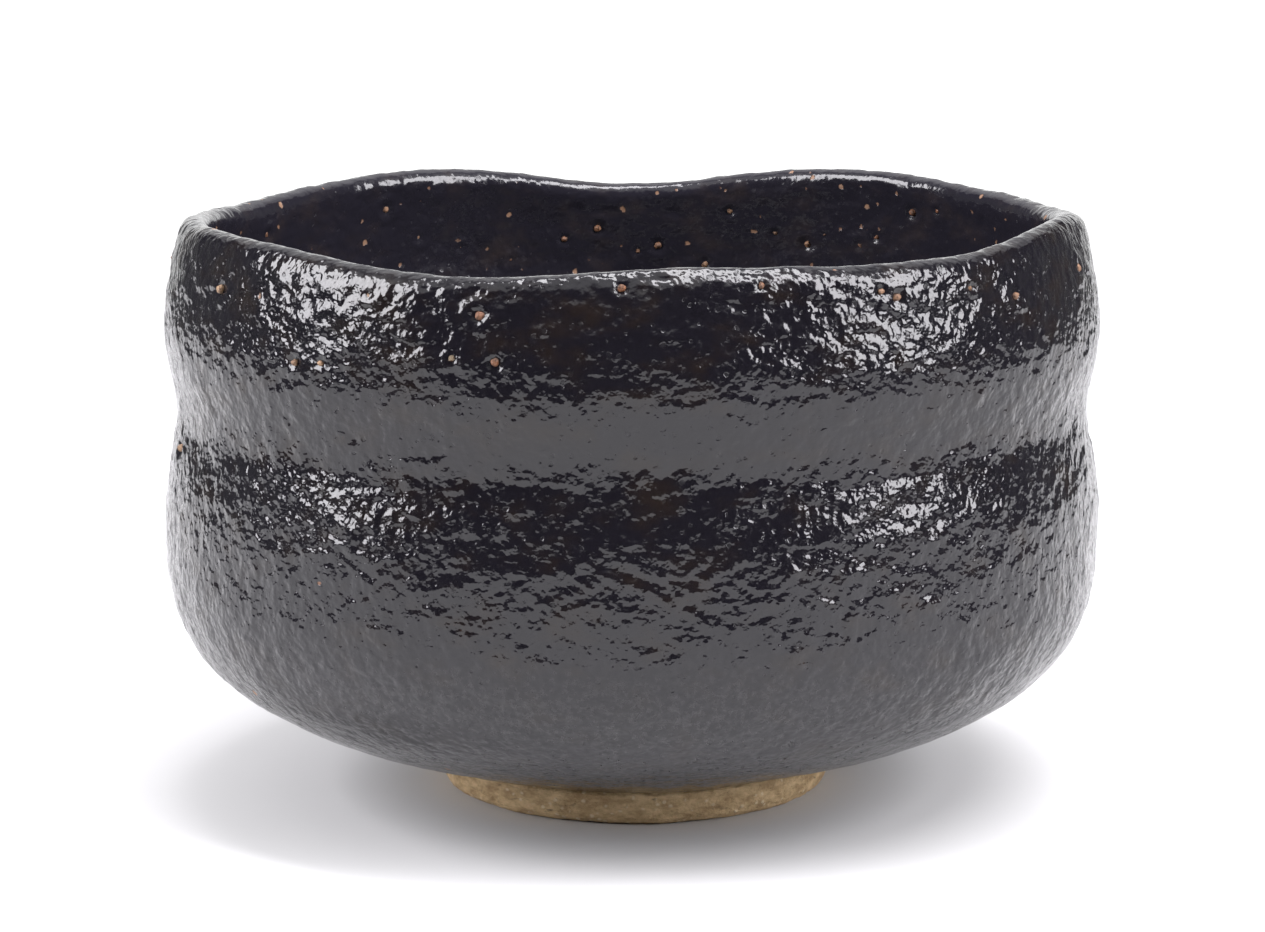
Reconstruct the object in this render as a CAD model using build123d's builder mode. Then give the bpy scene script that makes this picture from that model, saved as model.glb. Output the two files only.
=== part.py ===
from build123d import *
from math import cos, hypot, pi, radians, sin
import os

os.makedirs("parts", exist_ok=True)

# A hand-formed tea bowl of dark glazed clay. Millimetres, +Z up.
# The origin is the centre of the circle that the foot ring stands on.

# ---- overall sizes, measured over the glaze ----
belly_diameter = 120.4
rim_height = 74.2

# ---- wall outline, from the foot to the lip ----
belly_height = 33.0
waist_diameter = 116.4
waist_height = 50.5
shoulder_diameter = 120.0
shoulder_height = 60.0
lip_diameter = 114.2

# ---- thicknesses, glaze included ----
wall_thickness = 4.8
lip_thickness = 3.7
floor_thickness = 6.6

# ---- glaze coats ----
outside_glaze_thickness = 0.7
inside_glaze_thickness = 0.6
lip_glaze_thickness = 0.8
lip_band_depth = 7.0

# ---- foot ring ----
foot_height = 4.9
foot_diameter = 50.8
foot_flare = 0.3
foot_wall = 5.2
foot_well_taper = 0.8
foot_outer_round = 1.1
foot_inner_round = 0.8
foot_shift = 0.6
glaze_overhang = 1.2

# ---- spatula marks cut in the outside glaze ----
mark_depth = 0.38
mark_radius = 1.5

# ---- grains of grog that show through the glaze ----
grain_length = 1.0
grain_width = 0.85
grain_depth = 0.75
grain_sink = 0.3

# Places of the grains: (azimuth in degrees from +X by way of +Y, depth below the mean lip height).
outside_grain_places = [(-91, 1.9), (-121, 3.8), (-107, 5.3), (-75, 1.9), (-60, 3.3), (-58, 4.1), (-47, 3.9),
                        (-39, 5.6), (-131, 12.3), (-127, 12.0), (-147, 5.4), (-110, 10.2), (-105, 10.4),
                        (-20, 4.4), (4, 13.0), (27, 4.7), (49, 21.5), (71, 5.2), (96, 11.4), (118, 3.9),
                        (141, 9.6), (163, 18.2), (185, 5.0), (-163, 27.4)]
inside_grain_places = [(123, 8.6), (140, 8.9), (129, 4.2), (116, 10.4), (100, 9.8), (95, 8.3), (89, 11.6),
                       (86, 10.8), (75, 5.6), (68, 8.5), (63, 9.9), (60, 8.4), (54, 9.4), (51, 8.1), (48, 11.2),
                       (44, 4.1), (39, 3.5), (108, 12.6), (79, 13.5), (134, 12.1), (155, 5.4), (22, 8.8),
                       (3, 12.7), (-16, 5.2), (-31, 17.9), (-49, 10.3), (-66, 23.6), (-84, 8.2), (-102, 15.8),
                       (-119, 4.6), (-138, 20.4), (-157, 11.5), (176, 26.3), (147, 19.1), (70, 22.2), (37, 16.4)]

# How far each stretch of the lip stands above or below its mean height,
# in sixteen equal steps round the bowl from +X by way of +Y.
rim_wave = [0.2, -0.2, 1.1, 0.6, -2.0, 0.4, 0.6, -0.9, 0.0, 0.6, 0.3, -1.3, 0.1, -0.1, -0.3, 1.6]

# Shape of the wall between two named heights: (share of the rise, share of the width).
underside_curve = [(0.05, 0.11), (0.09, 0.25), (0.15, 0.40), (0.22, 0.54), (0.32, 0.70), (0.47, 0.86),
                   (0.65, 0.955), (0.85, 0.995)]
floor_curve = [(0.0, 0.14), (0.008, 0.20), (0.02, 0.30), (0.045, 0.42), (0.09, 0.55), (0.17, 0.69),
               (0.29, 0.81), (0.49, 0.92), (0.84, 0.993)]
belly_to_waist = [(0.46, 0.15), (0.76, 0.62)]
waist_to_shoulder = [(0.47, 0.5)]
shoulder_to_lip = [(0.3, 0.12), (0.6, 0.42), (1.0, 1.0), (1.36, 1.75)]

foot_radius = foot_diameter / 2
join_radius = foot_radius + glaze_overhang
inner_floor_height = foot_height + floor_thickness
lip_band_height = rim_height - lip_band_depth


def between(start, end, shares):
    """Levels (height, radius) from one level to another, by shares of the rise and of the width."""
    rise = end[0] - start[0]
    width = end[1] - start[1]
    return [(start[0] + rise * up, start[1] + width * out) for up, out in shares]


def upper_wall(belly, waist, shoulder, lip):
    """Levels from the belly, in at the waist, out at the shoulder and in past the lip."""
    low = (belly_height, belly)
    groove = (waist_height, waist)
    bulge = (shoulder_height, shoulder)
    edge = (rim_height, lip)
    levels = [low] + between(low, groove, belly_to_waist) + [groove]
    levels += between(groove, bulge, waist_to_shoulder) + [bulge]
    return levels + between(bulge, edge, shoulder_to_lip)


def moved_out(levels, distance):
    """The same levels moved square to the wall; the first one keeps its height."""
    moved = []
    for i, (height, radius) in enumerate(levels):
        before = levels[max(i - 1, 0)]
        after = levels[min(i + 1, len(levels) - 1)]
        rise = after[0] - before[0]
        width = after[1] - before[1]
        slope = hypot(rise, width)
        down = distance * width / slope if 0 < i < len(levels) - 1 else 0
        out = distance * rise / slope if i > 0 else distance
        moved.append((height - down, radius + out))
    return moved


def plan(radius):
    """Points round one level: the hand-turned bowl is a little off a true circle."""
    points = []
    for i in range(12):
        angle = 2 * pi * i / 12
        reach = radius * (1 + 0.005 * cos(3 * angle + 0.7) + 0.003 * cos(5 * angle + 2.0))
        points.append((reach * cos(angle), reach * sin(angle)))
    return points


def lofted(levels):
    """Solid through all the levels."""
    with BuildPart() as blank:
        for height, radius in levels:
            with BuildSketch(Plane.XY.offset(height)):
                with BuildLine():
                    Spline(*plan(radius), periodic=True)
                make_face()
        loft()
    return blank.part


def cut_level(solid, kept):
    """The part of a solid over or under the level where the lip band starts."""
    with BuildPart() as piece:
        add(solid)
        split(bisect_by=Plane.XY.offset(lip_band_height), keep=kept)
    return piece.part


def above_lip(lowered):
    """Solid that fills the space over the waved lip line."""
    reach = 12.0
    curves = []
    for radius in (lip_diameter / 2 - lip_thickness - reach, lip_diameter / 2 + reach):
        points = []
        for i, wave in enumerate(rim_wave):
            angle = 2 * pi * i / len(rim_wave)
            points.append((radius * cos(angle), radius * sin(angle), rim_height + wave - lowered))
        curves.append(Edge.make_spline([Vector(*point) for point in points], periodic=True))
    with BuildPart() as space:
        extrude(Face.make_surface_from_curves(*curves), amount=20, dir=(0, 0, 1))
    return space.part


def walled(outside, inside, lowered, rounding):
    """Bowl wall between an outside and an inside blank, cut to the waved lip and rounded there."""
    with BuildPart() as wall:
        add(outside)
        add(inside, mode=Mode.SUBTRACT)
        add(above_lip(lowered), mode=Mode.SUBTRACT)
        lip_edges = wall.edges().sort_by(SortBy.LENGTH)[-12:].filter_by(
            lambda edge: edge.bounding_box().min.Z > shoulder_height and edge.is_closed)
        fillet(lip_edges, radius=rounding)
    return wall.part


def on_wall(wall, azimuth, height, outermost):
    """Point of the wall's skin on a level line out from the axis, and the direction it faces."""
    line = Axis((0, 0, height), (cos(radians(azimuth)), sin(radians(azimuth)), 0))
    hits = [hit for hit in wall.find_intersection_points(line) if hit[0].dot(line.direction) > 0]
    hits.sort(key=lambda hit: hit[0].dot(line.direction))
    point = hits[-1][0] if outermost else hits[0][0]
    return point, line.direction if outermost else -line.direction


# ---- blanks for the clay and for the glaze over it ----
outer_join = (foot_height, join_radius)
outer_belly = (belly_height, belly_diameter / 2)
outer_levels = [outer_join] + between(outer_join, outer_belly, underside_curve)
outer_levels += upper_wall(belly_diameter / 2, waist_diameter / 2, shoulder_diameter / 2, lip_diameter / 2)

inner_floor = (inner_floor_height, 0)
inner_belly = (belly_height, belly_diameter / 2 - wall_thickness)
inner_levels = between(inner_floor, inner_belly, floor_curve)
inner_levels += upper_wall(inner_belly[1], waist_diameter / 2 - wall_thickness,
                           shoulder_diameter / 2 - wall_thickness, lip_diameter / 2 - lip_thickness)

clay_inner_levels = moved_out(inner_levels, inside_glaze_thickness)
clay_inner_levels[0] = (inner_floor_height - inside_glaze_thickness, inner_levels[0][1])

glaze_outside = lofted(outer_levels)
clay_outside = lofted(moved_out(outer_levels, -outside_glaze_thickness))
glaze_inside = lofted(inner_levels)
clay_inside = lofted(clay_inner_levels)

clay_lip_thickness = lip_thickness - outside_glaze_thickness - inside_glaze_thickness
bare_wall = walled(clay_outside, clay_inside, lip_glaze_thickness, 0.42 * clay_lip_thickness)
glazed_wall = walled(glaze_outside, glaze_inside, 0, 0.44 * lip_thickness)


# ---- grog grains, spaced unevenly round the wall ----
def grains(chosen, outermost):
    """Angular grains set in the wall, each turned its own way and a little proud of the glaze."""
    places = []
    for i, (azimuth, depth) in enumerate(chosen):
        point, facing = on_wall(glazed_wall, azimuth, rim_height - depth, outermost)
        turned = (47 * i, 31 * i + 20, 71 * i)
        places.append((Location(point - facing * grain_sink, turned), 0.95 + 0.25 * sin(3.9 * i)))
    with BuildPart() as group:
        for place, size in places:
            with Locations(place):
                Box(size * grain_length, size * grain_width, size * grain_depth)
    return group


grog_grains_outside = grains(outside_grain_places, True)
grog_grains_inside = grains(inside_grain_places, False)

# ---- clay body ----
with BuildPart() as clay_body:
    add(bare_wall)
    add(grog_grains_outside.part, mode=Mode.SUBTRACT)
    add(grog_grains_inside.part, mode=Mode.SUBTRACT)

# ---- outside glaze: from the foot join up to the lip band, with two short slanting spatula marks ----
marks = []
for azimuth, height, tilt, length in ((-89.5, 39.4, 21, 9.5), (-82, 35.4, 22, 6.5)):
    point, facing = on_wall(glazed_wall, azimuth, height, True)
    along = Vector(-facing.Y, facing.X, 0) * cos(radians(tilt)) - Vector(0, 0, 1) * sin(radians(tilt))
    middle = point + facing * (mark_radius - mark_depth)
    with BuildPart() as mark:
        with BuildSketch(Plane(middle, x_dir=along, z_dir=facing)):
            with BuildLine():
                ThreePointArc((-length / 2, 0), (0, mark_radius), (length / 2, 0))
                Line((length / 2, 0), (-length / 2, 0))
            make_face()
        revolve(axis=Axis(middle, along))
    marks.append(mark.part)

with BuildPart() as outside_glaze:
    add(cut_level(glaze_outside, Keep.BOTTOM))
    add(cut_level(clay_outside, Keep.BOTTOM), mode=Mode.SUBTRACT)
    add(grog_grains_outside.part, mode=Mode.SUBTRACT)
    for cut in marks:
        add(cut, mode=Mode.SUBTRACT)

# ---- inside glaze: the floor and the inner wall up to the lip band ----
with BuildPart() as inside_glaze:
    add(cut_level(clay_inside, Keep.BOTTOM))
    add(cut_level(glaze_inside, Keep.BOTTOM), mode=Mode.SUBTRACT)
    add(grog_grains_inside.part, mode=Mode.SUBTRACT)

# ---- lip glaze: the band where the two coats lap over the rounded lip ----
with BuildPart() as lip_glaze:
    add(cut_level(glazed_wall, Keep.TOP))
    add(cut_level(bare_wall, Keep.TOP), mode=Mode.SUBTRACT)
    add(grog_grains_outside.part, mode=Mode.SUBTRACT)
    add(grog_grains_inside.part, mode=Mode.SUBTRACT)

# ---- foot ring: bare clay, its standing edge rounded, open in the middle ----
with BuildPart() as foot_ring:
    with BuildSketch(Plane.XZ):
        with BuildLine():
            Polyline((foot_radius - foot_wall, 0), (foot_radius, 0), (foot_radius + foot_flare, foot_height),
                     (foot_radius - foot_wall - foot_well_taper, foot_height), close=True)
        make_face()
        standing = vertices().group_by(Axis.Y)[0].sort_by(Axis.X)
        fillet(standing[-1], radius=foot_outer_round)
        fillet(standing[0], radius=foot_inner_round)
    revolve(axis=Axis.Z)
foot_ring.part.position = (foot_shift, 0, 0)

clay_body.part.label = "clay_body"
outside_glaze.part.label = "outside_glaze"
inside_glaze.part.label = "inside_glaze"
lip_glaze.part.label = "lip_glaze"
foot_ring.part.label = "foot_ring"
grog_grains_outside.part.label = "grog_grains_outside"
grog_grains_inside.part.label = "grog_grains_inside"

export_step(clay_body.part, "parts/clay_body.step")
export_step(outside_glaze.part, "parts/outside_glaze.step")
export_step(inside_glaze.part, "parts/inside_glaze.step")
export_step(lip_glaze.part, "parts/lip_glaze.step")
export_step(foot_ring.part, "parts/foot_ring.step")
export_step(grog_grains_outside.part, "parts/grog_grains_outside.step")
export_step(grog_grains_inside.part, "parts/grog_grains_inside.step")
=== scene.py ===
import math

import bmesh
import bpy
from mathutils import Euler, Matrix, Vector
from mathutils.bvhtree import BVHTree
from mathutils.kdtree import KDTree


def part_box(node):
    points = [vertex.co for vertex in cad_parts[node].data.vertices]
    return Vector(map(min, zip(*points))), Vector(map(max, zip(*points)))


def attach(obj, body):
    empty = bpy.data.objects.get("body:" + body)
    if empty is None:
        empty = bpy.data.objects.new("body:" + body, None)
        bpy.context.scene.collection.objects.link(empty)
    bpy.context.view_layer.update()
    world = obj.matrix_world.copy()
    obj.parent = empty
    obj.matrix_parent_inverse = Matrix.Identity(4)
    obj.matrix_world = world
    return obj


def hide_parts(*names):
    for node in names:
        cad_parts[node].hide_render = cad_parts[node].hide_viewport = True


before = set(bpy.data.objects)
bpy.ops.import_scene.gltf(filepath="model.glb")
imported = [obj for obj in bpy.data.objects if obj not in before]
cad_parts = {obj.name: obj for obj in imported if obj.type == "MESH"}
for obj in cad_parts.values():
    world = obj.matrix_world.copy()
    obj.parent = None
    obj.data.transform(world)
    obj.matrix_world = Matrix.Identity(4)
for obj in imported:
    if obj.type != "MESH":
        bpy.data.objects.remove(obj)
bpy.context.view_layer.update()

MM = 0.001
scene = bpy.context.scene

# ---------------------------------------------------------------- sizes read from the CAD parts
outside_low, outside_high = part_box("outside_glaze")
foot_low, foot_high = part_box("foot_ring")
join_height = outside_low.z
band_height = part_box("lip_glaze")[0].z
belly_radius = (outside_high.x - outside_low.x) / 2
foot_radius = (foot_high.x - foot_low.x) / 2
foot_shift = (foot_high.x + foot_low.x) / 2

# ---------------------------------------------------------------- camera
LENS_LENGTH = 105
CAMERA_PLACE = (0.2 * MM, -470.9 * MM, 127.6 * MM)
CAMERA_DIP = 10.38  # degrees below level


def set_camera():
    """A long lens at table distance, looking a little down on the bowl."""
    lens = bpy.data.cameras.new("camera")
    lens.lens = LENS_LENGTH
    lens.sensor_width = 36
    lens.clip_start = 0.01
    lens.clip_end = 20
    camera = bpy.data.objects.new("camera", lens)
    camera.location = CAMERA_PLACE
    camera.rotation_euler = Euler((math.radians(90 - CAMERA_DIP), 0, 0))
    scene.collection.objects.link(camera)
    scene.camera = camera


set_camera()


# ---------------------------------------------------------------- small helpers
def leave_edit():
    bpy.ops.object.mode_set(mode="OBJECT")


def start_edit(selection):
    """Opens the active piece for editing with everything (SELECT) or nothing (DESELECT) picked."""
    bpy.ops.object.mode_set(mode="EDIT")
    bpy.ops.mesh.select_all(action=selection)


def deselect_all():
    if bpy.context.object and bpy.context.object.mode != "OBJECT":
        leave_edit()
    bpy.ops.object.select_all(action="DESELECT")


def pick(piece):
    deselect_all()
    piece.select_set(True)
    bpy.context.view_layer.objects.active = piece


def apply_all(piece):
    """Applies every modifier on a piece, top to bottom."""
    pick(piece)
    for modifier in list(piece.modifiers):
        bpy.ops.object.modifier_apply(modifier=modifier.name)


def subdivide(piece, levels):
    """Rounds a piece by cutting each face finer."""
    modifier = piece.modifiers.new("smooth", "SUBSURF")
    modifier.levels = levels
    modifier.render_levels = levels
    apply_all(piece)


def around(azimuth, radius, height):
    return Vector((radius * math.cos(azimuth), radius * math.sin(azimuth), height))


# ---------------------------------------------------------------- the CAD surface, for placing
class Skin:
    """Finds points on the skin of some CAD nodes by casting a line in from outside them."""

    def __init__(self, *names):
        points = []
        faces = []
        for name in names:
            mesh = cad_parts[name].data
            start = len(points)
            points += [vertex.co.copy() for vertex in mesh.vertices]
            faces += [[start + index for index in face.vertices] for face in mesh.polygons]
        self.tree = BVHTree.FromPolygons(points, faces)

    def hit(self, origin, direction):
        return self.tree.ray_cast(origin, direction.normalized())[0]

    def outer(self, azimuth, height):
        start = around(azimuth, 2 * belly_radius, height)
        return self.hit(start, Vector((-start.x, -start.y, 0)))

    def inner(self, azimuth, height):
        return self.hit(Vector((0, 0, height)), around(azimuth, 1, 0))

    def under(self, azimuth, radius):
        return self.hit(around(azimuth, radius, -belly_radius), Vector((0, 0, 1)))

    def floor(self, azimuth, radius):
        return self.hit(around(azimuth, radius, 2 * belly_radius), Vector((0, 0, -1)))

    def crown(self, azimuth):
        """Radius and height of the top of the lip, taken at the middle of its highest part."""
        tops = []
        for step in range(30):
            radius = belly_radius - (9.0 - 0.25 * step) * MM
            point = self.floor(azimuth, radius)
            if point and point.z > band_height:
                tops.append((radius, point.z))
        top = max(height for radius, height in tops)
        near = [radius for radius, height in tops if height > top - 0.12 * MM]
        return sum(near) / len(near), top


GRAIN_NODES = ("grog_grains_outside", "grog_grains_inside")
glaze_skin = Skin("outside_glaze", "lip_glaze", "inside_glaze", *GRAIN_NODES)
clay_skin = Skin("clay_body")


# ---------------------------------------------------------------- node trees
class Nodes:
    """Adds nodes to a shader or geometry tree, joining numbers, vectors and sockets as they come."""

    def __init__(self, tree):
        self.tree = tree

    def give(self, socket, value):
        if isinstance(value, bpy.types.NodeSocket):
            self.tree.links.new(value, socket)
        elif value is not None:
            socket.default_value = value

    def add(self, kind, inputs=None):
        node = self.tree.nodes.new(kind)
        for name, value in (inputs or {}).items():
            self.give(node.inputs[name], value)
        return node

    def math(self, operation, first, second=None):
        node = self.add("ShaderNodeMath")
        node.operation = operation
        self.give(node.inputs[0], first)
        self.give(node.inputs[1], second)
        return node.outputs[0]

    def total(self, *parts):
        result = parts[0]
        for part in parts[1:]:
            result = self.math("ADD", result, part)
        return result

    def times(self, *parts):
        result = parts[0]
        for part in parts[1:]:
            result = self.math("MULTIPLY", result, part)
        return result

    def step(self, value, low, high, start=0.0, end=1.0, smooth=True):
        """Goes from start to end as a value goes from low to high, and holds there."""
        node = self.add("ShaderNodeMapRange", {"Value": value, "From Min": low, "From Max": high,
                                               "To Min": start, "To Max": end})
        node.interpolation_type = "SMOOTHSTEP" if smooth else "LINEAR"
        return node.outputs[0]

    def near_zero(self, value, full, gone):
        """1 where a value is within full of 0, falling softly to 0 where it is gone."""
        return self.step(self.math("ABSOLUTE", value), full, gone, 1, 0)

    def scaled(self, vector, size):
        """A place divided by a grain size in millimetres along X, Y and Z."""
        node = self.add("ShaderNodeVectorMath")
        node.operation = "MULTIPLY"
        self.give(node.inputs[0], vector)
        node.inputs[1].default_value = [1 / (part * MM) for part in size]
        return node.outputs[0]

    def noise(self, vector, size, detail=2.0, roughness=0.5, distortion=0.0):
        """Soft noise from about -1 to 1, with lumps of the given size in millimetres."""
        node = self.add("ShaderNodeTexNoise", {"Vector": self.scaled(vector, size), "Scale": 1.0,
                                               "Detail": detail, "Roughness": roughness, "Distortion": distortion})
        return self.times(self.math("SUBTRACT", node.outputs[0], 0.5), 2.6)

    def cells(self, vector, size):
        """Distance to the nearest cell middle, and two random numbers for that cell."""
        node = self.add("ShaderNodeTexVoronoi", {"Vector": self.scaled(vector, size), "Scale": 1.0,
                                                 "Randomness": 1.0})
        chance = self.add("ShaderNodeSeparateXYZ", {"Vector": node.outputs["Color"]})
        return node.outputs["Distance"], chance.outputs[0], chance.outputs[1]

    def warped(self, vector, size, reach):
        """The same place pushed about by soft noise, so that round cells come out ragged."""
        node = self.add("ShaderNodeTexNoise", {"Vector": self.scaled(vector, (size, size, size)), "Scale": 1.0,
                                               "Detail": 2.0, "Roughness": 0.6})
        push = self.add("ShaderNodeVectorMath")
        push.operation = "MULTIPLY_ADD"
        self.give(push.inputs[0], node.outputs["Color"])
        push.inputs[1].default_value = [reach * MM] * 3
        self.give(push.inputs[2], vector)
        return push.outputs[0]


def relief_tree(name, build):
    """Geometry nodes that move a skin in and out along its normal by build(nodes, place), in millimetres."""
    tree = bpy.data.node_groups.new(name, "GeometryNodeTree")
    tree.interface.new_socket("Geometry", in_out="INPUT", socket_type="NodeSocketGeometry")
    tree.interface.new_socket("Geometry", in_out="OUTPUT", socket_type="NodeSocketGeometry")
    nodes = Nodes(tree)
    start = nodes.add("NodeGroupInput")
    end = nodes.add("NodeGroupOutput")
    place = nodes.add("GeometryNodeInputPosition").outputs[0]
    offset = nodes.add("ShaderNodeVectorMath")
    offset.operation = "SCALE"
    nodes.give(offset.inputs[0], nodes.add("GeometryNodeInputNormal").outputs[0])
    nodes.give(offset.inputs["Scale"], nodes.times(build(nodes, place), MM))
    moved = nodes.add("GeometryNodeSetPosition", {"Geometry": start.outputs[0], "Offset": offset.outputs[0]})
    nodes.give(end.inputs[0], moved.outputs[0])
    return tree


def press_relief(piece, name, build):
    """Works a relief into the mesh of a piece for good."""
    modifier = piece.modifiers.new(name, "NODES")
    modifier.node_group = relief_tree(name, build)
    apply_all(piece)


# ---------------------------------------------------------------- relief of the glaze
# Spatula marks: azimuth in degrees, height, slant in degrees and length in millimetres.
SPATULA_MARKS = ((-89.5, 39.4, 21, 10.5), (-82, 35.4, 22, 7.5))
CUT_DEPTH = 0.24
RIDGE_HEIGHT = 0.13
PRESS_AZIMUTH = -82
PRESS_DEPTH = 0.24
DEEPEST = 0.42  # never down to the clay


def turn_from(nodes, spot, azimuth):
    """Angle round the bowl from an azimuth in degrees."""
    return nodes.math("SUBTRACT", nodes.math("ARCTAN2", spot.outputs[1], spot.outputs[0]), math.radians(azimuth))


def spatula_mark(nodes, spot, height, mark):
    """A short slanting cut with a soft ridge thrown up along its lower side."""
    azimuth, level, slant, length = mark
    side = nodes.times(turn_from(nodes, spot, azimuth), belly_radius / MM)
    rise = nodes.math("SUBTRACT", height, level)
    lean, tip = math.cos(math.radians(slant)), math.sin(math.radians(slant))
    along = nodes.math("SUBTRACT", nodes.times(side, lean), nodes.times(rise, tip))
    across = nodes.total(nodes.times(side, tip), nodes.times(rise, lean))
    ends = nodes.near_zero(along, length / 2 - 2.5, length / 2)
    cut = nodes.times(nodes.near_zero(across, 0.1, 0.7), -CUT_DEPTH)
    ridge = nodes.times(nodes.near_zero(nodes.total(across, 1.1), 0.1, 0.7), RIDGE_HEIGHT)
    return nodes.times(nodes.total(cut, ridge), ends)


def lip_press(nodes, spot, facing, outward):
    """A thumb-pressed slope on the outer corner of the lip at the front."""
    window = nodes.near_zero(turn_from(nodes, spot, PRESS_AZIMUTH), math.radians(6), math.radians(17))
    up = facing.outputs[2]
    corner = nodes.times(nodes.step(up, 0.3, 0.6), nodes.step(up, 0.8, 0.98, 1, 0))
    outside = nodes.step(outward, 10 * MM, 20 * MM)
    return nodes.times(window, corner, outside, -PRESS_DEPTH)


def glaze_relief(nodes, place):
    """Hand dents, trowel drags, orange peel and pits of the fired glaze, with the spatula marks."""
    spot = nodes.add("ShaderNodeSeparateXYZ", {"Vector": place})
    height = nodes.math("DIVIDE", spot.outputs[2], MM)
    facing = nodes.add("ShaderNodeSeparateXYZ", {"Vector": nodes.add("GeometryNodeInputNormal").outputs[0]})
    outward = nodes.total(nodes.times(spot.outputs[0], facing.outputs[0]),
                          nodes.times(spot.outputs[1], facing.outputs[1]))
    dents = nodes.times(nodes.noise(place, (22, 22, 14), 1.5), 0.30)
    drags = nodes.times(nodes.noise(place, (12, 12, 5)), 0.19)
    lumps = nodes.times(nodes.noise(place, (3.3, 3.3, 3.0)), 0.19)
    peel = nodes.times(nodes.noise(place, (1.9, 1.9, 1.7), 1.0), 0.085)
    pits = nodes.times(nodes.step(nodes.noise(place, (2.9, 2.9, 2.2), 2.0, 0.55, 0.4), 0.1, 0.9), -0.12)
    calm_inside = nodes.step(outward, -20 * MM, 10 * MM, 0.6, 1.0)
    calm_below = nodes.step(height, 11, 24, 0.5, 1.0)
    relief = nodes.total(
        dents,
        drags,
        nodes.times(nodes.total(lumps, peel, pits), calm_below, calm_inside),
        lip_press(nodes, spot, facing, outward),
        *[spatula_mark(nodes, spot, height, mark) for mark in SPATULA_MARKS],
    )
    return nodes.math("MAXIMUM", relief, -DEEPEST)


# ---------------------------------------------------------------- grains in the glaze
def islands(node):
    """Middle and size of each separate solid in a CAD node, from the lowest up."""
    work = bmesh.new()
    work.from_mesh(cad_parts[node].data)
    bmesh.ops.remove_doubles(work, verts=work.verts, dist=0.001 * MM)
    seen = set()
    found = []
    for first in work.verts:
        if first in seen:
            continue
        seen.add(first)
        group = [first]
        for vertex in group:
            for edge in vertex.link_edges:
                other = edge.other_vert(vertex)
                if other not in seen:
                    seen.add(other)
                    group.append(other)
        middle = sum((vertex.co for vertex in group), Vector()) / len(group)
        found.append((middle, max((vertex.co - middle).length for vertex in group)))
    work.free()
    return sorted(found, key=lambda item: (round(item[0].z, 5), round(item[0].x, 5)))


CRATER_DEPTH = 0.30 * MM
COLLAR_HEIGHT = 0.13 * MM


def press_craters(coat):
    """Where a grain breaks the glaze, the glaze sinks next to it and stands up in a soft collar round it."""
    finder = KDTree(len(coat.data.vertices))
    for vertex in coat.data.vertices:
        finder.insert(vertex.co, vertex.index)
    finder.balance()
    for node in GRAIN_NODES:
        for middle, size in islands(node):
            for place, index, distance in finder.find_range(middle, 3.2 * size):
                share = distance / size
                sunk = CRATER_DEPTH * max(0.0, 1 - (share / 1.15) ** 2)
                collar = COLLAR_HEIGHT * math.exp(-((share - 1.9) / 0.5) ** 2)
                vertex = coat.data.vertices[index]
                vertex.co = vertex.co + vertex.normal * (collar - sunk)


# ---------------------------------------------------------------- glaze coats
STEPS_ROUND = 75
CUTS = 3
POINTS_ROUND = STEPS_ROUND * 2 ** CUTS
LIP_ROUND = 1.95 * MM
LIP_SWELL = 0.12 * MM

# Where the rings of the whole coat lie, in millimetres: out under the bowl, up the outside,
# down the inside and in over the floor.
UNDER_RADII = (31.5, 37.5, 43.5, 49.0)
WALL_HEIGHTS = (16.0, 20.0, 24.5, 29.0, 33.5, 38.0, 42.0, 46.0, 49.5, 53.0, 56.5, 60.0, 63.5)
LIP_TURNS = (0, 45, 90, 135, 180)
INNER_HEIGHTS = (63.5, 59.5, 55.5, 51.5, 47.0, 42.0, 37.0, 32.0, 27.0, 22.5, 19.0)
FLOOR_RADII = (44.0, 38.5, 32.5, 26.0, 19.0, 12.0, 6.0)
BAND_RING = 1 + len(UNDER_RADII) + len(WALL_HEIGHTS)
INNER_BAND_RING = BAND_RING + len(LIP_TURNS) + 3
OUTSIDE, LIP, INSIDE = "outside", "lip", "inside"


def wall_section(azimuth):
    """Points of the whole coat on one side of the bowl: up the outside, over the lip, down the inside."""
    radius, top = glaze_skin.crown(azimuth)
    centre = top - LIP_ROUND
    middle = around(azimuth, radius, centre)
    half_band = (band_height + centre) / 2
    foot = glaze_skin.outer(azimuth, join_height + 0.4 * MM).xy.length - 0.5 * MM
    section = [around(azimuth, foot, join_height)]
    section += [glaze_skin.under(azimuth, reach * MM) for reach in UNDER_RADII]
    section += [glaze_skin.outer(azimuth, height * MM) for height in WALL_HEIGHTS]
    section += [glaze_skin.outer(azimuth, band_height), glaze_skin.outer(azimuth, half_band)]
    for turn in LIP_TURNS:
        out = around(azimuth, math.cos(math.radians(turn)), math.sin(math.radians(turn)))
        section.append(glaze_skin.hit(middle + out * 5 * MM, -out) + out * LIP_SWELL)
    section += [glaze_skin.inner(azimuth, half_band), glaze_skin.inner(azimuth, band_height)]
    section += [glaze_skin.inner(azimuth, height * MM) for height in INNER_HEIGHTS]
    section += [glaze_skin.floor(azimuth, reach * MM) for reach in FLOOR_RADII]
    return section


def mark_zones(coat):
    """Gives the faces of the outside, the lip and the inside a slot of their own."""
    zones = (OUTSIDE, LIP, INSIDE)
    for name in zones:
        coat.data.materials.append(bpy.data.materials.new(name))
    for face in coat.data.polygons:
        ring = min(face.vertices) // STEPS_ROUND
        zone = OUTSIDE if ring < BAND_RING else LIP if ring < INNER_BAND_RING else INSIDE
        face.material_index = zones.index(zone)


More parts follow.
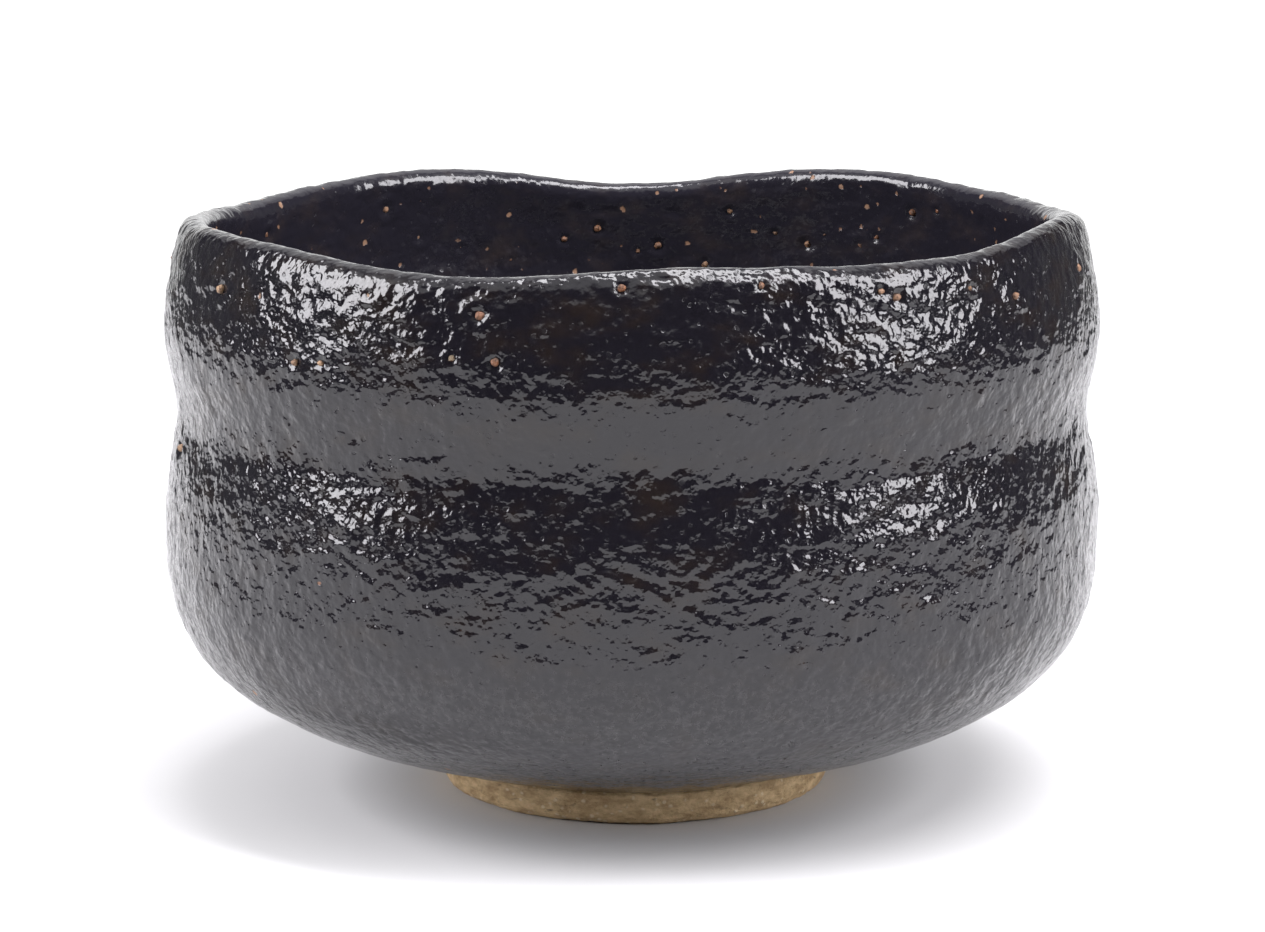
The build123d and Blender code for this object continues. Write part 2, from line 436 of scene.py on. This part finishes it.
def make_whole_coat():
    """One skin over the bowl, drawn up ring by ring from the foot join and then set on the CAD surface."""
    sections = [wall_section(math.pi / 2 + 2 * math.pi * step / STEPS_ROUND) for step in range(STEPS_ROUND)]
    rings = len(sections[0])
    deselect_all()
    bpy.ops.mesh.primitive_circle_add(vertices=STEPS_ROUND, radius=foot_radius, location=(0, 0, 0))
    coat = bpy.context.object
    start_edit("SELECT")
    for ring in range(1, rings):
        rise = sections[0][ring].z - sections[0][ring - 1].z
        wider = sections[0][ring].xy.length / sections[0][ring - 1].xy.length
        bpy.ops.mesh.extrude_edges_move(TRANSFORM_OT_translate={"value": (0, 0, rise)})
        bpy.ops.transform.resize(value=(wider, wider, 1), center_override=(0, 0, 0))
    bpy.ops.mesh.edge_face_add()
    leave_edit()
    for ring in range(rings):
        for step in range(STEPS_ROUND):
            coat.data.vertices[ring * STEPS_ROUND + step].co = sections[step][ring]
    mark_zones(coat)
    start_edit("SELECT")
    bpy.ops.mesh.normals_make_consistent(inside=False)
    leave_edit()
    subdivide(coat, CUTS)
    press_relief(coat, "glaze_relief", glaze_relief)
    press_craters(coat)
    bpy.ops.object.shade_smooth()
    return coat


def boundary(piece, near):
    """Selects the open edge loop of a piece that passes near(vertex)."""
    pick(piece)
    bpy.ops.object.mode_set(mode="EDIT")
    bpy.ops.mesh.select_mode(type="VERT")
    bpy.ops.mesh.select_all(action="DESELECT")
    bpy.ops.mesh.select_non_manifold(extend=False, use_wire=False, use_boundary=True,
                                     use_multi_face=False, use_non_contiguous=False, use_verts=False)
    leave_edit()
    for vertex in piece.data.vertices:
        if vertex.select and not near(vertex.co):
            vertex.select = False
    for edge in piece.data.edges:
        edge.select = all(piece.data.vertices[index].select for index in edge.vertices)
    for face in piece.data.polygons:
        face.select = False
    bpy.ops.object.mode_set(mode="EDIT")
    bpy.ops.mesh.select_mode(type="EDGE")


def back_with(piece, start, rings, capped=False):
    """Closes a coat on its hidden side: rings of points run from one open edge over the clay,
    to the coat's other edge or, where it has none, to a cap."""
    boundary(piece, start)
    for ring in rings:
        bpy.ops.mesh.extrude_edges_move(TRANSFORM_OT_translate={"value": (0, 0, 0.1 * MM)})
    leave_edit()
    vertices = piece.data.vertices
    first = len(vertices) - len(rings) * POINTS_ROUND
    for number, ring in enumerate(rings):
        for index in range(POINTS_ROUND):
            vertex = vertices[first + number * POINTS_ROUND + index]
            vertex.co = ring(math.atan2(vertex.co.y, vertex.co.x))
    if capped:
        bpy.ops.object.mode_set(mode="EDIT")
        bpy.ops.mesh.edge_face_add()
    else:
        boundary(piece, lambda point: True)
        bpy.ops.mesh.bridge_edge_loops()
    leave_edit()


def clay_outer(height):
    return lambda azimuth: clay_skin.outer(azimuth, height * MM)


def clay_under(radius):
    return lambda azimuth: clay_skin.under(azimuth, radius * MM)


def clay_inner(height):
    return lambda azimuth: clay_skin.inner(azimuth, height * MM)


def clay_floor(radius):
    return lambda azimuth: clay_skin.floor(azimuth, radius * MM)


def clay_crown(azimuth):
    radius, top = clay_skin.crown(azimuth)
    return around(azimuth, radius, top)


# Each coat: where its backing starts, the rings over the clay, and whether a cap ends them.
COATS = {
    OUTSIDE: (lambda point: point.z < (join_height + band_height) / 2,
              [clay_under(radius) for radius in (26.3, 31.5, 38, 44.5)]
              + [clay_outer(height) for height in (15, 22, 31, 41, 50, 59, 66.8)], False),
    INSIDE: (lambda point: True,
             [clay_inner(height) for height in (66.8, 59, 50, 41, 31, 22)]
             + [clay_floor(radius) for radius in (43, 32, 20, 9)], True),
    LIP: (lambda point: point.xy.length > (belly_radius + 54.0 * MM) / 2,
          [clay_outer(67.6), clay_outer(70.5), clay_crown, clay_inner(70.5), clay_inner(67.6)], False),
}


def match_shading(piece, coat, hidden_rings):
    """Shades a coat's outer skin as part of the whole, so no line shows where two coats meet."""
    skin = piece.vertex_groups.new(name="skin")
    skin.add(list(range(len(piece.data.vertices) - hidden_rings * POINTS_ROUND)), 1.0, "REPLACE")
    modifier = piece.modifiers.new("normals", "DATA_TRANSFER")
    modifier.object = coat
    modifier.use_loop_data = True
    modifier.data_types_loops = {"CUSTOM_NORMAL"}
    modifier.loop_mapping = "NEAREST_POLYNOR"
    modifier.vertex_group = "skin"
    apply_all(piece)


def make_coats():
    """Parts the whole coat into outside, lip and inside, and closes each on its hidden side."""
    coat = make_whole_coat()
    pick(coat)
    bpy.ops.object.duplicate()
    bpy.ops.object.mode_set(mode="EDIT")
    bpy.ops.mesh.separate(type="MATERIAL")
    leave_edit()
    parts = {}
    for piece in list(bpy.context.selected_objects):
        slot = piece.material_slots[piece.data.polygons[0].material_index]
        parts[slot.material.name.split(".")[0]] = piece
    for zone, (start, rings, capped) in COATS.items():
        parts[zone].name = "glaze_coat_" + zone
        back_with(parts[zone], start, rings, capped)
        match_shading(parts[zone], coat, len(rings))
    bpy.data.objects.remove(coat)
    return parts[OUTSIDE], parts[LIP], parts[INSIDE]


outside, lip, inside = make_coats()

# ---------------------------------------------------------------- foot ring
FOOT_STEPS = 90


def foot_relief(nodes, place):
    """Coarse bare clay: turning lines, dragged grit and small chips."""
    away, chance, _ = nodes.cells(place, (2.1, 2.1, 1.5))
    chip = nodes.times(nodes.step(away, 0.08, 0.34, 1, 0), nodes.step(chance, 0.6, 0.75))
    return nodes.total(
        nodes.times(nodes.noise(place, (12, 12, 8), 1.0), 0.16),
        nodes.times(nodes.noise(place, (5, 5, 0.7)), 0.10),
        nodes.times(nodes.noise(place, (1.1, 1.1, 0.8), 3.0, 0.6), 0.09),
        nodes.times(chip, -0.22),
    )


def make_foot():
    """The ring is drawn out as a thick hoop from one section, rounded where it stands, and roughened."""
    height = foot_high.z / MM
    # The section, from the join outside to the join inside: way in from the outer face, and height.
    section = [(-0.3, height), (0.02, 0.72 * height), (0.1, 0.4 * height), (0.35, 1.1),
               (0.95, 0.35), (1.9, 0.02), (3.2, 0.02), (4.3, 0.25),
               (4.9, 0.8), (5.25, 0.4 * height), (5.7, 0.8 * height), (5.9, height)]
    deselect_all()
    bpy.ops.mesh.primitive_circle_add(vertices=FOOT_STEPS, radius=foot_radius, location=(0, 0, 0))
    foot = bpy.context.object
    foot.name = "bare_foot_ring"
    start_edit("SELECT")
    for _ in section[1:]:
        bpy.ops.mesh.extrude_edges_move(TRANSFORM_OT_translate={"value": (0, 0, 0)})
    leave_edit()
    for number, (inward, level) in enumerate(section):
        for step in range(FOOT_STEPS):
            vertex = foot.data.vertices[number * FOOT_STEPS + step]
            azimuth = math.atan2(vertex.co.y, vertex.co.x)
            vertex.co = around(azimuth, foot_radius - (0.3 + inward) * MM, level * MM)
    foot.data.transform(Matrix.Translation((foot_shift, 0, 0)))
    start_edit("DESELECT")
    bpy.ops.mesh.select_mode(type="EDGE")
    bpy.ops.mesh.select_non_manifold()
    bpy.ops.mesh.bridge_edge_loops()
    bpy.ops.mesh.select_all(action="SELECT")
    bpy.ops.mesh.normals_make_consistent(inside=False)
    leave_edit()
    subdivide(foot, 3)
    press_relief(foot, "foot_relief", foot_relief)
    bpy.ops.object.shade_smooth()
    return foot


foot = make_foot()


# ---------------------------------------------------------------- grog grains
def grain_relief(nodes, place):
    """Broken faces of fired grog."""
    return nodes.times(nodes.noise(place, (0.5, 0.5, 0.5), 2.0, 0.6), 0.24)


def make_grains(name, node):
    """Rough grains, each modelled from a small faceted ball pressed out of true."""
    grains = []
    for number, (middle, size) in enumerate(islands(node)):
        deselect_all()
        bpy.ops.mesh.primitive_ico_sphere_add(subdivisions=3, radius=0.66 * size, location=middle)
        grains.append(bpy.context.object)
        flat = (1.0, 0.82 + 0.12 * math.sin(number * 2.3), 0.74 + 0.1 * math.cos(number * 1.7))
        bpy.ops.transform.resize(value=flat)
        bpy.ops.transform.rotate(value=number * 1.3, orient_axis="Z", center_override=middle)
        bpy.ops.transform.rotate(value=number * 0.9, orient_axis="X", center_override=middle)
    deselect_all()
    for grain in grains:
        grain.select_set(True)
    bpy.context.view_layer.objects.active = grains[0]
    bpy.ops.object.join()
    group = bpy.context.object
    group.name = name
    bpy.ops.object.transform_apply(location=True, rotation=True, scale=True)
    press_relief(group, name + "_relief", grain_relief)
    bpy.ops.object.shade_smooth()
    return group


grains_outside, grains_inside = [make_grains(node + "_rough", node) for node in GRAIN_NODES]


# ---------------------------------------------------------------- materials
def new_material(name):
    material = bpy.data.materials.new(name)
    material.use_nodes = True
    nodes = Nodes(material.node_tree)
    shader = material.node_tree.nodes["Principled BSDF"]
    place = nodes.add("ShaderNodeTexCoord").outputs["Object"]
    return material, nodes, shader, place


def mixed(nodes, amount, first, second):
    """One colour going over into another as the amount goes from 0 to 1."""
    node = nodes.add("ShaderNodeMix")
    node.data_type = "RGBA"
    nodes.give(node.inputs[0], amount)
    for socket, colour in ((node.inputs[6], first), (node.inputs[7], second)):
        nodes.give(socket, colour if isinstance(colour, bpy.types.NodeSocket) else (*colour, 1))
    return node.outputs[2]


def bumped(nodes, shader, height, millimetres=1.0):
    """Fine relief shown by the shading, its height in units of the given millimetres."""
    node = nodes.add("ShaderNodeBump", {"Height": height, "Distance": millimetres * MM, "Strength": 1.0})
    nodes.give(shader.inputs["Normal"], node.outputs[0])


BLACK_OUTSIDE, BROWN_OUTSIDE = (0.0060, 0.0054, 0.0078), (0.0120, 0.0082, 0.0066)
BLACK_INSIDE, BROWN_INSIDE = (0.0125, 0.0115, 0.0165), (0.0250, 0.0195, 0.0200)
IRON_DUST = (0.050, 0.026, 0.016)
THIN_EDGE = (0.060, 0.030, 0.014)
# Painted reflection: the lighter grey of the mottles on the lower body, standing in for the table's reflection.
PAINTED_REFLECTION_GREY = (0.029, 0.027, 0.030)
SPECK_RUST, SPECK_TAN = (0.085, 0.034, 0.017), (0.235, 0.135, 0.082)
SEAM, GRIT = (0.030, 0.020, 0.012), (0.80, 0.68, 0.46)
GROG_RUST, GROG_TAN, GROG_DIRT = (0.17, 0.068, 0.030), (0.34, 0.22, 0.13), (0.05, 0.022, 0.010)


def glaze_colour(nodes, place, height, inner):
    """Near black and brown where thin, dusted with iron, with lighter grey mottles on the lower body that are a
    painted reflection of the table.
    """
    brown = nodes.step(nodes.noise(place, (7, 7, 4.5), 3.0, 0.6), -0.1, 0.9)
    black = mixed(nodes, inner, mixed(nodes, brown, BLACK_OUTSIDE, BROWN_OUTSIDE),
                  mixed(nodes, brown, BLACK_INSIDE, BROWN_INSIDE))
    dust = nodes.step(nodes.noise(place, (0.42, 0.42, 0.42), 2.0, 0.6), 0.5, 0.75)
    black = mixed(nodes, nodes.times(dust, brown), black, IRON_DUST)
    feather = nodes.total(height, nodes.noise(place, (2.2, 2.2, 2.2), 3.0))
    thin = nodes.step(feather, join_height / MM + 0.1, join_height / MM + 1.5, 0.8, 0)
    black = mixed(nodes, thin, black, THIN_EDGE)
    # Painted reflection: lighter grey mottles, between about 8 and 34 mm up, stand in for the table's reflection
    # broken into flecks by the pits.
    painted_reflection_mottle = nodes.step(nodes.noise(place, (0.75, 0.75, 0.75), 3.0, 0.6), -0.3, 0.6)
    low = nodes.times(nodes.step(height, 8, 15, 0.25, 1.0), nodes.step(height, 20, 34, 0.9, 0.05))
    return mixed(nodes, nodes.times(painted_reflection_mottle, low), black, PAINTED_REFLECTION_GREY)


def glaze_specks(nodes, place, inner):
    """Small grog breaking the glaze, many more inside the bowl than outside, and its colour."""
    away, chance, size = nodes.cells(nodes.warped(place, 1.1, 0.9), (2.4, 2.4, 2.4))
    reach = nodes.step(size, 0, 1, 0.09, 0.21, smooth=False)
    rarity = nodes.math("SUBTRACT", 0.985, nodes.times(inner, 0.63))
    speck = nodes.step(away, nodes.times(reach, 0.55), reach, 1, 0)
    speck = nodes.times(speck, nodes.math("GREATER_THAN", chance, rarity))
    return speck, mixed(nodes, size, SPECK_RUST, SPECK_TAN)


def glaze_pocks(nodes, place):
    """Little burst bubbles, duller than the glaze round them."""
    away, chance, size = nodes.cells(nodes.warped(place, 0.7, 0.6), (1.05, 1.05, 1.0))
    pit = nodes.step(size, 0, 1, 0.08, 0.22, smooth=False)
    rim = nodes.step(size, 0, 1, 0.2, 0.48, smooth=False)
    return nodes.times(nodes.step(away, pit, rim, 1, 0), nodes.math("GREATER_THAN", chance, 0.6))


def glaze_peel(nodes, place, pock):
    """Orange peel of the glaze: dimples, pimples and pocks."""
    away, chance, _ = nodes.cells(nodes.warped(place, 0.8, 0.5), (1.6, 1.6, 1.5))
    pimple = nodes.times(nodes.step(away, 0.03, 0.2, 1, 0), nodes.math("GREATER_THAN", chance, 0.55))
    return nodes.total(
        nodes.times(nodes.noise(place, (1.4, 1.4, 1.4), 1.5), 0.135),
        nodes.times(nodes.noise(place, (0.55, 0.55, 0.55), 1.0), 0.016),
        nodes.times(pimple, 0.035),
        nodes.times(pock, -0.035),
    )


def glaze_material(name, inner):
    """Black iron glaze: glassy, brown where thin, dimpled and pitted, with tan specks of grog.
    Inner is 0 outside the bowl, 1 inside it, and None where the coat laps over the lip."""
    material, nodes, shader, place = new_material(name)
    spot = nodes.add("ShaderNodeSeparateXYZ", {"Vector": place})
    height = nodes.math("DIVIDE", spot.outputs[2], MM)
    if inner is None:
        square = nodes.total(nodes.times(spot.outputs[0], spot.outputs[0]),
                             nodes.times(spot.outputs[1], spot.outputs[1]))
        radius = nodes.math("SQRT", square)
        inner = nodes.step(radius, belly_radius - 5.4 * MM, belly_radius - 3.6 * MM, 1, 0)
    speck, speck_colour = glaze_specks(nodes, place, inner)
    pock = glaze_pocks(nodes, place)
    cloud = nodes.noise(place, (4.5, 4.5, 3))
    calm_below = nodes.step(height, 9, 20, 0.7, 1.0)
    calm_inside = nodes.math("SUBTRACT", 1.0, nodes.times(inner, 0.55))
    peel = nodes.times(glaze_peel(nodes, place, pock), calm_below, calm_inside)
    shader.inputs["IOR"].default_value = 1.49
    nodes.give(shader.inputs["Base Color"],
               mixed(nodes, speck, glaze_colour(nodes, place, height, inner), speck_colour))
    nodes.give(shader.inputs["Roughness"],
               nodes.total(0.145, nodes.times(cloud, 0.03), nodes.times(speck, 0.4), nodes.times(pock, 0.14)))
    bumped(nodes, shader, nodes.total(peel, nodes.times(speck, -0.04)))
    return material


def bare_clay_material(name, light, dark):
    """Coarse unglazed clay: buff with darker seams, sandy grit and a few glinting grains."""
    material, nodes, shader, place = new_material(name)
    cloud = nodes.step(nodes.noise(place, (2.6, 2.6, 1.3), 4.0, 0.7), -0.6, 0.6)
    seam = nodes.step(nodes.noise(place, (3.2, 3.2, 0.8), 3.0, 0.6, 0.8), 0.25, 0.7)
    away, chance, _ = nodes.cells(nodes.warped(place, 0.7, 0.5), (0.9, 0.9, 0.9))
    grit = nodes.times(nodes.step(away, 0.1, 0.42, 1, 0), nodes.step(chance, 0.6, 0.7))
    body = mixed(nodes, nodes.times(seam, 0.75), mixed(nodes, cloud, dark, light), SEAM)
    shader.inputs["IOR"].default_value = 1.45
    nodes.give(shader.inputs["Base Color"], mixed(nodes, nodes.times(grit, 0.8), body, GRIT))
    nodes.give(shader.inputs["Roughness"], nodes.total(0.8, nodes.times(grit, -0.55)))
    bumped(nodes, shader, nodes.total(
        nodes.times(nodes.noise(place, (0.45, 0.45, 0.35), 4.0, 0.65), 0.10),
        nodes.times(nodes.noise(place, (1.1, 1.1, 0.7), 3.0, 0.65), 0.20),
        nodes.times(grit, 0.12),
    ))
    return material


def grog_material(name):
    """Fired grog: tan to rust, sandy, matt."""
    material, nodes, shader, place = new_material(name)
    tone = nodes.step(nodes.noise(place, (30, 30, 30), 0.0), -0.6, 0.6)
    dirt = nodes.step(nodes.noise(place, (0.5, 0.5, 0.5), 3.0), -0.3, 0.5)
    body = mixed(nodes, tone, GROG_RUST, GROG_TAN)
    nodes.give(shader.inputs["Base Color"], mixed(nodes, dirt, body, GROG_DIRT))
    nodes.give(shader.inputs["Roughness"], nodes.step(dirt, 0, 1, 0.45, 0.75))
    bumped(nodes, shader, nodes.noise(place, (0.2, 0.2, 0.2), 3.0, 0.6), 0.04)
    return material


def dress(piece, material):
    """Gives a piece one material all over."""
    piece.data.materials.clear()
    piece.data.materials.append(material)
    for face in piece.data.polygons:
        face.material_index = 0


foot_clay = bare_clay_material("bare_foot_clay", (0.74, 0.55, 0.31), (0.36, 0.235, 0.115))
body_clay = bare_clay_material("fired_body_clay", (0.22, 0.17, 0.11), (0.10, 0.072, 0.045))
grog = grog_material("grog")
dress(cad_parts["clay_body"], body_clay)

for piece, material, node, slot in (
        (outside, glaze_material("black_glaze_outside", 0.0), "outside_glaze", "black_glaze"),
        (lip, glaze_material("black_glaze_lip", None), "lip_glaze", "black_glaze"),
        (inside, glaze_material("black_glaze_inside", 1.0), "inside_glaze", "black_glaze"),
        (foot, foot_clay, "foot_ring", "bare_foot_clay"),
        (grains_outside, grog, "grog_grains_outside", "grog"),
        (grains_inside, grog, "grog_grains_inside", "grog")):
    dress(piece, material)
    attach(piece, "root")
    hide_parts(node)

# ---------------------------------------------------------------- table, room and lights
TABLE_MIDDLE = (0, 0.1, 0)
TABLE_SIZE = (0.96, 1.04, 1)
BOWL_HEART = (0, 0, 0.04)
LAMP_COLOUR = (0.975, 0.96, 1.0)
# Each softbox: its place, what it faces, its width and height, and its radiance.
SOFTBOXES = {
    "softbox_left": ((-0.77, -0.19, 0.46), BOWL_HEART, 0.52, 0.56, 14),
    "softbox_right": ((0.73, -0.32, 0.46), BOWL_HEART, 0.43, 0.56, 14),
    "softbox_over": ((0.17, -0.14, 0.92), BOWL_HEART, 0.30, 0.9, 15),
    "softbox_behind": ((0, 1.1, 0.95), (0, 1.0, 0), 2.0, 1.2, 0.6),
}


def make_table():
    """A plain white table top, matt all over."""
    deselect_all()
    bpy.ops.mesh.primitive_plane_add(size=1, location=TABLE_MIDDLE)
    table = bpy.context.object
    table.name = "white_table"
    bpy.ops.transform.resize(value=TABLE_SIZE, center_override=TABLE_MIDDLE)
    bpy.ops.object.transform_apply(location=True, rotation=True, scale=True)
    material, nodes, shader, place = new_material("white_table_top")
    cloud = nodes.step(nodes.noise(place, (40, 40, 40), 3.0), -1, 1)
    nodes.give(shader.inputs["Base Color"], mixed(nodes, cloud, (0.64, 0.64, 0.64), (0.67, 0.67, 0.67)))
    shader.inputs["Roughness"].default_value = 0.9
    shader.inputs["Specular IOR Level"].default_value = 0.0
    dress(table, material)


def make_room():
    """White behind the table, dark in front of it and over it; the camera itself sees plain white all round."""
    world = bpy.data.worlds.new("room")
    scene.world = world
    world.use_nodes = True
    nodes = Nodes(world.node_tree)
    way = nodes.add("ShaderNodeTexCoord").outputs["Generated"]
    spot = nodes.add("ShaderNodeSeparateXYZ", {"Vector": way})
    side, back, up = spot.outputs
    behind = nodes.times(
        nodes.step(nodes.math("ABSOLUTE", side), 0.25, 0.5, 1, 0.1),
        nodes.step(back, -0.05, 0.35, 0.03, 1.35),
        nodes.step(up, 0.12, 0.5, 1.0, 0.22),
    )
    over = nodes.times(nodes.step(up, 0.5, 0.8, 0, 1.2), nodes.step(back, -0.1, 0.3, 1, 0.2))
    seen = nodes.add("ShaderNodeLightPath").outputs["Is Camera Ray"]
    background = world.node_tree.nodes["Background"]
    background.inputs["Color"].default_value = (1, 1, 1, 1)
    nodes.give(background.inputs["Strength"],
               nodes.math("MAXIMUM", nodes.total(behind, over), nodes.times(seen, 1.3)))


def softbox(name, place, aim, width, height, radiance):
    """A soft light at a place, turned to face the aim."""
    light = bpy.data.lights.new(name, "AREA")
    light.shape = "RECTANGLE"
    light.size = width
    light.size_y = height
    light.energy = radiance * math.pi * width * height
    light.color = LAMP_COLOUR
    lamp = bpy.data.objects.new(name, light)
    lamp.location = place
    lamp.rotation_euler = (Vector(aim) - lamp.location).to_track_quat("-Z", "Y").to_euler()
    lamp.visible_camera = False
    scene.collection.objects.link(lamp)


make_table()
make_room()
for name, setting in SOFTBOXES.items():
    softbox(name, *setting)

scene.view_settings.view_transform = "Standard"
